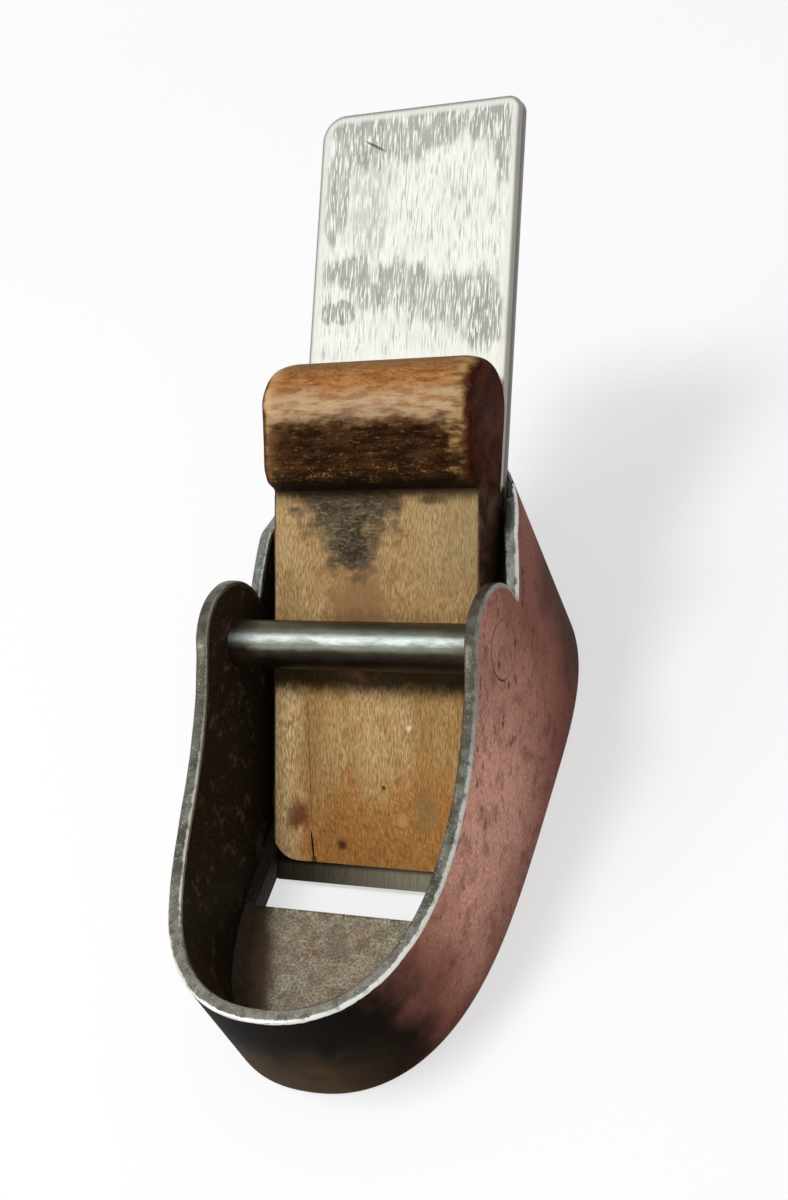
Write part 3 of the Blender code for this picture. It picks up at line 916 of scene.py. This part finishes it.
GRIP_END_ROUND = 0.0012
GRIP_END_REACH = 0.0027
GRIP_END_CUTS = (0.05, 0.18, 0.4, 0.7, 1.0)
GRIP_END_UNEVEN = 0.35
GRIP_END_UNEVEN_SIZE = 0.0024
GRIP_HOLLOW = 0.00010
GRIP_HOLLOW_SIZE = 0.0020
FACE_WAVE = 0.00002
FACE_WAVE_SIZE = 0.0040
FRONT_FACING = 0.3
CRACK_TOP = (-0.0086, 0.0041)
CRACK_FOOT = -0.00816
CRACK_HALF_WIDTH = 0.00018
CRACK_DEPTH = 0.0009
CRUST_DEPTH = 0.00035
CRUST_SIZE = 0.0014
WEDGE_BUMP = 0.00012

# Dents as middle, radius and depth, and stains as middle, half size, strength and colour, measured
# across the wedge and up from the iron's edge.
DENTS = (
    ((-0.0020, 0.0402), 0.0012, 0.00045),
    ((-0.0042, 0.0428), 0.0010, 0.00020),
    ((-0.0010, 0.0446), 0.0012, 0.00025),
    ((0.0022, 0.0462), 0.0008, 0.00015),
    ((-0.00425, 0.0048), 0.0007, 0.00030),
    ((0.0040, 0.0085), 0.0016, 0.00012),
)
STAINS = (
    ((-0.0018, 0.0355), (0.0058, 0.0105), 0.85, (132, 98, 66)),
    ((0.0022, 0.0462), (0.0018, 0.0009), 0.8, (96, 66, 40)),
    ((0.0075, 0.0467), (0.0026, 0.0007), 0.8, (84, 58, 36)),
    ((-0.0103, 0.0081), (0.0018, 0.0025), 0.85, (104, 54, 36)),
    ((-0.00425, 0.0048), (0.0009, 0.0008), 0.9, (58, 40, 26)),
    ((0.0014, 0.0122), (0.0005, 0.0004), 0.9, (66, 44, 28)),
    ((0.0070, 0.0100), (0.0020, 0.0030), 0.6, (128, 108, 72)),
    ((0.0040, 0.0085), (0.0008, 0.0011), 0.6, (188, 156, 102)),
    ((0.0048, 0.0195), (0.0005, 0.0005), 0.9, (232, 208, 176)),
)
GRIME_MIDDLE = (-0.0034, 0.0466)
GRIME_SIZE = (0.0080, 0.0062)
GRIME_BELOW = ((-0.0030, 0.0418), (0.0042, 0.0052))
# The crack and a hairline above it, painted black as the shade inside them.
CRACK = ((-0.00835, 0.0045), (0.00017, 0.0023), math.atan2(0.00044, 0.0041))
HAIRLINE = ((-0.0088, 0.0150), (0.00010, 0.0100), math.atan2(0.0004, 0.0083))
CROSS_TURN = math.radians(-22)
LOW_SLANT = 0.16
LOW_FACE = (0.018, 0.008)
UPPER_FACE = (0.026, 0.042)
STRIP_SIDE = (-0.0085, -0.0122)
STRIP_TOP = (0.032, 0.022)
GREYER_SIDE = (0.003, 0.012)
GREYER_FOOT = (0.031, 0.038)
# Painted shadow of the pin on the wedge, with the dark line where the pin rubs.
PIN_SHADOW_FOOT = (0.0226, 0.0250)
PIN_SHADOW_TOP = (0.0325, 0.0275)
# Painted shadow on the face just under the grip's lip, and painted shade on the lip's underside.
UNDER_LIP = (0.0461, 0.0480)
GRIP_FOOT = (0.0478, 0.0481)
GRIP_SIDE_FOOT = (0.0476, 0.0490)
SHADED_UNDERSIDE = (0.0496, 0.0482)
OCHRE_TOP = (0.0520, 0.0498)
# Top of the grip's sooty front, which is darkened further as painted shade.
BURNT_SHADE_TOP = (0.0574, 0.0544)
BARE_FOOT = (0.0500, 0.0545)
BARE_INSET = (0.0026, 0.0004)
# The band where the grip is worn smooth; its paleness is partly a painted sheen.
RUBBED_SHEEN_FOOT = (0.0545, 0.0562)
RUBBED_SHEEN_TOP = (0.0605, 0.0580)
BACK_FOOT = (0.0612, 0.0630)
LEFT_END = (-0.0105, -0.0140)
SIDE_INSET = (0.0005, 0.0002)
GRIP_SIDE_INSET = 0.0008

FACE_TAN = (182, 145, 92)
FACE_PALE = (204, 173, 122)
FACE_UPPER = (182, 160, 118)
FACE_ORANGE = (190, 140, 80)
FACE_LOW = (192, 130, 66)
FACE_CROSS = (128, 74, 34)
FACE_STRIP = (244, 210, 152)
FACE_FIBRE = (120, 85, 47)
FACE_PORE = (96, 64, 34)
FACE_GREYER = (124, 112, 86)
# Painted shadow of the pin.
FACE_PIN_SHADOW = (20, 13, 8)
CRUST_DARK = (36, 30, 22)
CRUST_GREY = (92, 84, 68)
CRUST_GLINT = (136, 128, 110)
CRUST_BLACK = (22, 17, 11)
CRACK_SHADE = (28, 18, 11)
GRIP_BROWN = (142, 90, 48)
GRIP_TAN = (182, 128, 76)
GRIP_STREAK = (84, 52, 30)
GRIP_WRINKLE = (70, 42, 22)
GRIP_RAISED = (216, 176, 126)
GRIP_BACK = (104, 86, 60)
GRIP_RUBBED_SHEEN = (190, 164, 130)
GRIP_LEFT = (206, 164, 114)
# Soot on the grip's front, darkened further as painted shade.
SOOT_SHADE_BLACK = (10, 5, 2)
SOOT_SHADE_BROWN = (52, 32, 17)
SOOT_RAISED = (108, 80, 52)
SOOT_OCHRE = (160, 112, 56)
BARE_BROWN = (112, 80, 46)
BARE_PALE = (186, 150, 98)
UNDERSIDE_SHADE = (24, 16, 11)
LIP_SHADOW = (40, 27, 17)
# The wedge's sides below the grip, darker than its face as painted shade.
SIDE_SHADE_DARK = (54, 37, 28)
SIDE_SHADE_BROWN = (94, 69, 54)
END_DARK = (43, 14, 4)
END_BROWN = (76, 34, 16)

wedge_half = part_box("wedge")[1].x


def rounded(corners, steps):
    """Outline through (point, radius) corners, each corner rounded by an arc of its radius."""
    points = []
    for i, (corner, radius) in enumerate(corners):
        here = Vector(corner)
        before = (Vector(corners[i - 1][0]) - here).normalized()
        after = (Vector(corners[(i + 1) % len(corners)][0]) - here).normalized()
        if radius == 0:
            points.append(corner)
            continue
        half = before.angle(after) / 2
        centre = here + (before + after).normalized() * radius / math.sin(half)
        first = here + before * radius / math.tan(half) - centre
        last = here + after * radius / math.tan(half) - centre
        start = math.atan2(first.y, first.x)
        points += arc(centre, radius, start, start + last.angle_signed(first), steps)
    return points


def wedge_profile():
    """Side of the wedge as points up from its tip and off the iron, ending in the round of the grip."""
    lip = WEDGE_FACE_LENGTH
    face = WEDGE_TIP_THICKNESS + lip * math.tan(WEDGE_TAPER)
    nose = GRIP_THICKNESS / 2
    nose_at = lip + GRIP_LENGTH - nose
    corners = [((0, 0), 0), ((0, WEDGE_TIP_THICKNESS), 0), ((lip, face), GRIP_ROOT_ROUND),
               ((lip + GRIP_LIP_LEAN, face + GRIP_STEP), GRIP_LIP_ROUND), ((nose_at, GRIP_THICKNESS), 0)]
    end = arc((nose_at, nose), nose, math.pi / 2, -math.pi / 2, 2 * CORNER_STEPS)
    return rounded(corners, CORNER_STEPS // 2) + end[1:]


def smooth_share(value, low, high):
    """Soft step of a number from 0 at low to 1 at high."""
    share = min(max((value - low) / (high - low), 0), 1)
    return share * share * (3 - 2 * share)


def wear(vert):
    """Moves a point of the wedge inwards where handling has rounded its ends and dented its front."""
    here = vert.co.copy()
    grip = smooth_share(here.y, *[WEDGE_FACE_LENGTH + offset for offset in GRIP_FROM_LIP])
    reach = WEDGE_EDGE_ROUND + grip * (GRIP_END_REACH - WEDGE_EDGE_ROUND)
    depth = WEDGE_EDGE_ROUND + grip * (GRIP_END_ROUND - WEDGE_EDGE_ROUND)
    reach *= 1 + GRIP_END_UNEVEN * grip * noise.noise(here / GRIP_END_UNEVEN_SIZE)
    inset = wedge_half - abs(here.x)
    sink = 0
    if inset < reach:
        sink = depth * (1 - math.sqrt(1 - (1 - inset / reach) ** 2))
    if vert.normal.z > FRONT_FACING:
        up = here.y + WEDGE_UP_IRON
        for middle, radius, hollow in DENTS:
            gap = math.hypot(here.x - middle[0], up - middle[1])
            sink += hollow * (1 - smooth_share(gap, 0, radius))
        caked = 1 - math.hypot((here.x - GRIME_MIDDLE[0]) / GRIME_SIZE[0],
                               (up - GRIME_MIDDLE[1]) / GRIME_SIZE[1])
        sink += max(0, caked) * CRUST_DEPTH * (0.5 + 0.5 * noise.noise(here / CRUST_SIZE))
        sink += grip * GRIP_HOLLOW * max(0, noise.noise(here / GRIP_HOLLOW_SIZE))
        sink += FACE_WAVE * noise.noise(here / FACE_WAVE_SIZE)
    inward = Vector((0, vert.normal.y, vert.normal.z))
    if inward.length > 0:
        vert.co -= inward.normalized() * sink


def wedge_mesh():
    """The wedge in its own frame: X across, Y up from its tip, Z off the iron."""
    bm = flat_face([(-wedge_half, up, off) for up, off in wedge_profile()])
    thicken(bm, bm.faces[:], (2 * wedge_half, 0, 0))
    tip = [e for e in bm.edges if all(v.co.y < MERGE for v in e.verts) and e.calc_length() < wedge_half]
    round_off(bm, tip, WEDGE_TIP_CORNER, WEDGE_TIP_SEGMENTS)
    slice_up(bm, 0, -wedge_half, wedge_half, WEDGE_CELL)
    slice_up(bm, 1, 0, WEDGE_FACE_LENGTH + GRIP_LENGTH, WEDGE_CELL)
    crack_top = Vector((*CRACK_TOP, 0))
    for spread in (-CRACK_HALF_WIDTH, 0, CRACK_HALF_WIDTH):
        run = crack_top - Vector((CRACK_FOOT + spread, 0, 0))
        cut(bm, crack_top, (run.y, -run.x, 0))
    for end in (-1, 1):
        for share in GRIP_END_CUTS:
            cut(bm, (end * (wedge_half - share * GRIP_END_REACH), 0, 0), (1, 0, 0))
    bmesh.ops.recalc_face_normals(bm, faces=bm.faces)
    bm.normal_update()
    lean = (CRACK_TOP[0] - CRACK_FOOT) / CRACK_TOP[1]
    for vert in bm.verts:
        beside_crack = abs(vert.co.x - CRACK_FOOT - lean * vert.co.y)
        on_crack = beside_crack < 2 * MERGE and vert.co.y < CRACK_TOP[1]
        if on_crack and vert.normal.z > FRONT_FACING:
            vert.co.z -= CRACK_DEPTH * (1 - vert.co.y / CRACK_TOP[1])
        else:
            wear(vert)
    bmesh.ops.translate(bm, verts=bm.verts, vec=(-edge.x, WEDGE_UP_IRON, WEDGE_OFF_IRON))
    bmesh.ops.transform(bm, matrix=bed_place, verts=bm.verts)
    return bm


def grip_colour(across, up, ripple, fleck, wrinkle, drift):
    """Handled wood, sooty in front and darker there as painted shade, bare at the grip's ends, with a
    painted sheen on its pale band; and where that band is worn smooth.
    """
    level = up + drift * 0.003
    rubbed_sheen = level.step(*RUBBED_SHEEN_FOOT) * level.step(*RUBBED_SHEEN_TOP)
    # Sooty front of the grip, darker as painted shade where it faces down.
    burnt_and_shaded = (level + (ripple - 0.5) * 0.002).step(*BURNT_SHADE_TOP)
    rise = up + drift * 0.004
    ochre = (fleck * 0.6 + ripple * 0.4 + drift * 0.4).step(0.58, 0.66) * rise.step(*OCHRE_TOP)
    bare = abs(across) + drift * 0.0060 + (ripple - 0.5) * 0.003 + across * 0.05
    bare = bare.step(*[wedge_half - inset for inset in BARE_INSET])
    bare = bare * (0.5 + fleck.step(0.35, 0.55) * 0.5) * (0.35 + rise.step(*BARE_FOOT) * 0.65)
    left = (across + drift * 0.004).step(*LEFT_END)
    mottle = ripple * 0.6 + fleck * 0.4
    soot_and_shade = mottle.step(0.42, 0.60).mix(SOOT_SHADE_BLACK, SOOT_SHADE_BROWN).coated(
        (wrinkle.step(0.58, 0.70) * 0.6, SOOT_RAISED),
        (ochre * 0.65, SOOT_OCHRE),
    )
    handled = (ripple + drift * 0.6).step(0.35, 0.70).mix(GRIP_BROWN, GRIP_TAN).coated(
        (mottle.step(0.54, 0.64) * 0.55, GRIP_STREAK),
        (wrinkle.step(0.42, 0.34) * 0.6, GRIP_WRINKLE),
        (wrinkle.step(0.60, 0.70) * 0.4, GRIP_RAISED),
        ((up + drift * 0.005).step(*BACK_FOOT) * 0.5, GRIP_BACK),
        # Pale band worn smooth, partly a painted sheen.
        (rubbed_sheen * (0.3 + ripple.step(0.38, 0.58) * 0.5), GRIP_RUBBED_SHEEN),
        (left * 0.55, GRIP_LEFT),
        (burnt_and_shaded * (0.95 - left * 0.25), soot_and_shade),
        (bare * 0.75, ripple.step(0.38, 0.62).mix(BARE_BROWN, BARE_PALE)),
        # Painted shade on the underside of the lip.
        (up.step(*SHADED_UNDERSIDE) * 0.9, UNDERSIDE_SHADE),
    )
    return handled, rubbed_sheen


def wedge_wood():
    """Honey-brown hardwood with fine pores, orange towards the tip, its grip charred dark in front and
    darker still as painted shade.
    """
    material, here = new_material("wedge_wood")
    local = here.turned((0, edge.y, edge.z), (bed_angle, 0, 0))
    across, up, off = local.parts()
    figure = local.noise(0.0045, 3, (1, 3, 1))
    wavy = local.node("CombineXYZ", {}, {0: across + (figure - 0.5) * 0.003, 1: up, 2: off})
    fibre = wavy.noise(0.00011, 1, (1, 26, 1))
    pores = wavy.noise(0.00014, 2, (1, 10, 1))
    cross = local.turned((0, 0, 0), (0, 0, CROSS_TURN)).noise(0.00022, 3, (6, 1, 1))
    rough = local.noise(0.0022, 5)
    ripple = local.noise(0.0008, 4, (4, 1, 1))
    fleck = local.noise(0.00035, 3)
    wrinkle = local.noise(0.00030, 4, (3, 1, 1))
    drift = rough - 0.5
    rise = up + drift * 0.004
    low = (up - across * LOW_SLANT + (figure - 0.5) * 0.010).step(*LOW_FACE)
    strip_side = (across + drift * 0.003).step(*STRIP_SIDE)
    # Greyer and darker towards the upper right of the face.
    greyer_upper_right = (across + drift * 0.004).step(*GREYER_SIDE) * rise.step(*GREYER_FOOT)
    # Painted shadow of the pin, with its rub line.
    pin_shadow_and_rub = (up + drift * 0.0024).step(*PIN_SHADOW_FOOT) * (up + drift * 0.0060).step(*PIN_SHADOW_TOP)
    base = figure.step(0.35, 0.65).mix(FACE_TAN, FACE_PALE).coated(
        ((up + drift * 0.008).step(*UPPER_FACE) * 0.6, FACE_UPPER),
        (rough.step(0.52, 0.66) * 0.5, FACE_ORANGE),
        (low * 0.85, FACE_LOW),
        (low * cross.step(0.45, 0.70) * 0.5, FACE_CROSS),
        (strip_side * (0.9 * rise.step(*STRIP_TOP)), FACE_STRIP),
        (fibre.step(0.30, 0.70) * 0.7, FACE_FIBRE),
        (pores.step(0.52, 0.70) * 0.4, FACE_PORE),
        (greyer_upper_right * 0.35, FACE_GREYER),
        (pin_shadow_and_rub * 0.9, FACE_PIN_SHADOW),
    )
    for middle, size, strength, shade in STAINS:
        stain = (local.spot(middle, size) + drift * 1.6 + (fleck - 0.5) * 0.7).step(-0.15, 0.75)
        base = (stain * strength).mix(base, shade)
    grime = local.spot(GRIME_MIDDLE, GRIME_SIZE).or_else(local.spot(*GRIME_BELOW))
    grime = (grime + drift * 1.5 + (ripple - 0.5) * 0.5).step(-0.15, 0.50)
    # Grime crust, with its pale flecks painted as glints.
    crust = (fleck * 0.4 + rough * 0.6).step(0.38, 0.62).mix(CRUST_DARK, CRUST_GREY).coated(
        (wrinkle.step(0.56, 0.70) * 0.6, CRUST_GLINT),
        (wrinkle.step(0.44, 0.36) * 0.7, CRUST_BLACK),
    )
    # Painted shade inside the crack and the hairline.
    crack_shade = local.spot(*CRACK).step(0.0, 0.3).or_else(local.spot(*HAIRLINE).step(0.0, 0.5) * 0.5)
    handled, rubbed_sheen = grip_colour(across, up, ripple, fleck, wrinkle, drift)
    gripped = up.step(*GRIP_SIDE_FOOT)
    side_from, side_to = [wedge_half - inset for inset in SIDE_INSET]
    side = abs(across) + gripped * drift * 0.002
    side = side.step(side_from - gripped * GRIP_SIDE_INSET, side_to)
    # Sides below the grip darkened as painted shade; end grain on the grip.
    shaded_side = rough.step(0.35, 0.65).mix(SIDE_SHADE_DARK, SIDE_SHADE_BROWN)
    end_grain = rough.step(0.35, 0.65).mix(END_DARK, END_BROWN)
    base = base.coated(
        (grime * 0.92, crust),
        (crack_shade, CRACK_SHADE),
        # Painted shadow under the lip.
        ((up + drift * 0.001).step(*UNDER_LIP) * 0.9, LIP_SHADOW),
        (up.step(*GRIP_FOOT), handled),
        (side, gripped.mix(shaded_side, end_grain)),
    )
    crackle = gripped.or_else(grime) * (fleck + wrinkle * 2.0)
    finish(here, pores * 0.4 + fibre * 0.4 + ripple * 0.2 + crackle, WEDGE_BUMP, {
        "Base Color": base,
        "Roughness": 0.50 + pores * 0.15 - rubbed_sheen * 0.12,
        "Specular IOR Level": 0.02,
    })
    return material


add_piece("wedge_body", wedge_mesh(), wedge_wood(), "wedge", "wedge")

# Stage
# A plain pale floor in white surroundings, a soft lamp above, one at the left that polished steel
# mirrors, a weak one at the right, and a camera where the photograph was taken from.
FLOOR_REACH = 2.0
FLOOR_FADE = (0.12, 0.45)
FLOOR_GLOW = 0.6
FLOOR_BELOW = 0.00005
FLOOR_ROUGHNESS = 0.9
FLOOR_PAINT = (0.93, 0.93, 0.93, 1)
WHITE = (1, 1, 1, 1)
ROOM_LIGHT = 0.35
LAMP_AIM = Vector((0, 0, 0.02))
# Name, place, size and power of each lamp, and whether steel mirrors it.
LAMPS = (
    ("key", (-0.200, -0.080, 0.680), 0.20, 3.0, False),
    ("gleam", (-0.400, -0.480, 0.300), 0.20, 1.2, True),
    ("fill", (0.40, -0.40, 0.30), 0.40, 0.3, False),
)
CAMERA_PLACE = Vector((0.09652, -0.12563, 0.17001))
CAMERA_RIGHT = Vector((0.89686, 0.29581, -0.32886))
CAMERA_DOWN = Vector((0.01107, -0.75826, -0.65186))
CAMERA_LENS = 52.8
CAMERA_NEAR = 0.01
SENSOR = 36


def seen_directly(here):
    """1 for rays from the camera or sent on by metal or glass, 0 for light that falls on the object."""
    camera_ray, glossy_ray, clear_ray = [here.node("LightPath", {}, {}, f"Is {kind} Ray")
                                         for kind in ("Camera", "Glossy", "Transmission")]
    return camera_ray.or_else(glossy_ray).or_else(clear_ray)


def floor_paint():
    """Pale floor that stays white to the camera and keeps a soft shadow."""
    material, here = new_material("floor_paint")
    shader = here.tree.nodes["Principled BSDF"]
    here.feed(shader, {"Base Color": FLOOR_PAINT, "Roughness": FLOOR_ROUGHNESS})
    painted = Shade(here.tree, shader.outputs[0])
    glow = here.node("Emission", {}, {"Color": WHITE, "Strength": 1.0})
    glowing = seen_directly(here) * (FLOOR_GLOW + here.length().step(*FLOOR_FADE) * (1 - FLOOR_GLOW))
    both = here.node("MixShader", {}, {0: glowing, 1: painted, 2: glow})
    here.feed(here.tree.nodes["Material Output"], {"Surface": both})
    return material


floor_grid = bmesh.new()
bmesh.ops.create_grid(floor_grid, x_segments=1, y_segments=1, size=FLOOR_REACH)
bmesh.ops.translate(floor_grid, verts=floor_grid.verts, vec=(0, 0, -FLOOR_BELOW))
floor_sheet = bpy.data.meshes.new("floor")
floor_grid.to_mesh(floor_sheet)
floor_grid.free()
floor_sheet.materials.append(floor_paint())
floor = add_object("floor", floor_sheet)

for name, place, size, power, gleams in LAMPS:
    lamp = bpy.data.lights.new(name, 'AREA')
    lamp.size = size
    lamp.energy = power
    holder = add_object(name, lamp)
    holder.location = place
    holder.rotation_euler = (LAMP_AIM - Vector(place)).to_track_quat('-Z', 'Y').to_euler()
    holder.visible_glossy = gleams

world = bpy.data.worlds.new("studio")
world.use_nodes = True
around = Shade(world.node_tree)
light = ROOM_LIGHT + seen_directly(around) * (1 - ROOM_LIGHT)
around.feed(world.node_tree.nodes["Background"], {"Color": WHITE, "Strength": light})
bpy.context.scene.world = world

lens = bpy.data.cameras.new("camera")
lens.lens = CAMERA_LENS
lens.sensor_width = SENSOR
lens.clip_start = CAMERA_NEAR
camera = add_object("camera", lens)
turn = Matrix((CAMERA_RIGHT, -CAMERA_DOWN, CAMERA_RIGHT.cross(-CAMERA_DOWN))).transposed()
camera.matrix_world = Matrix.Translation(CAMERA_PLACE) @ turn.to_4x4()
bpy.context.scene.camera = camera
bpy.context.scene.view_settings.view_transform = 'Standard'
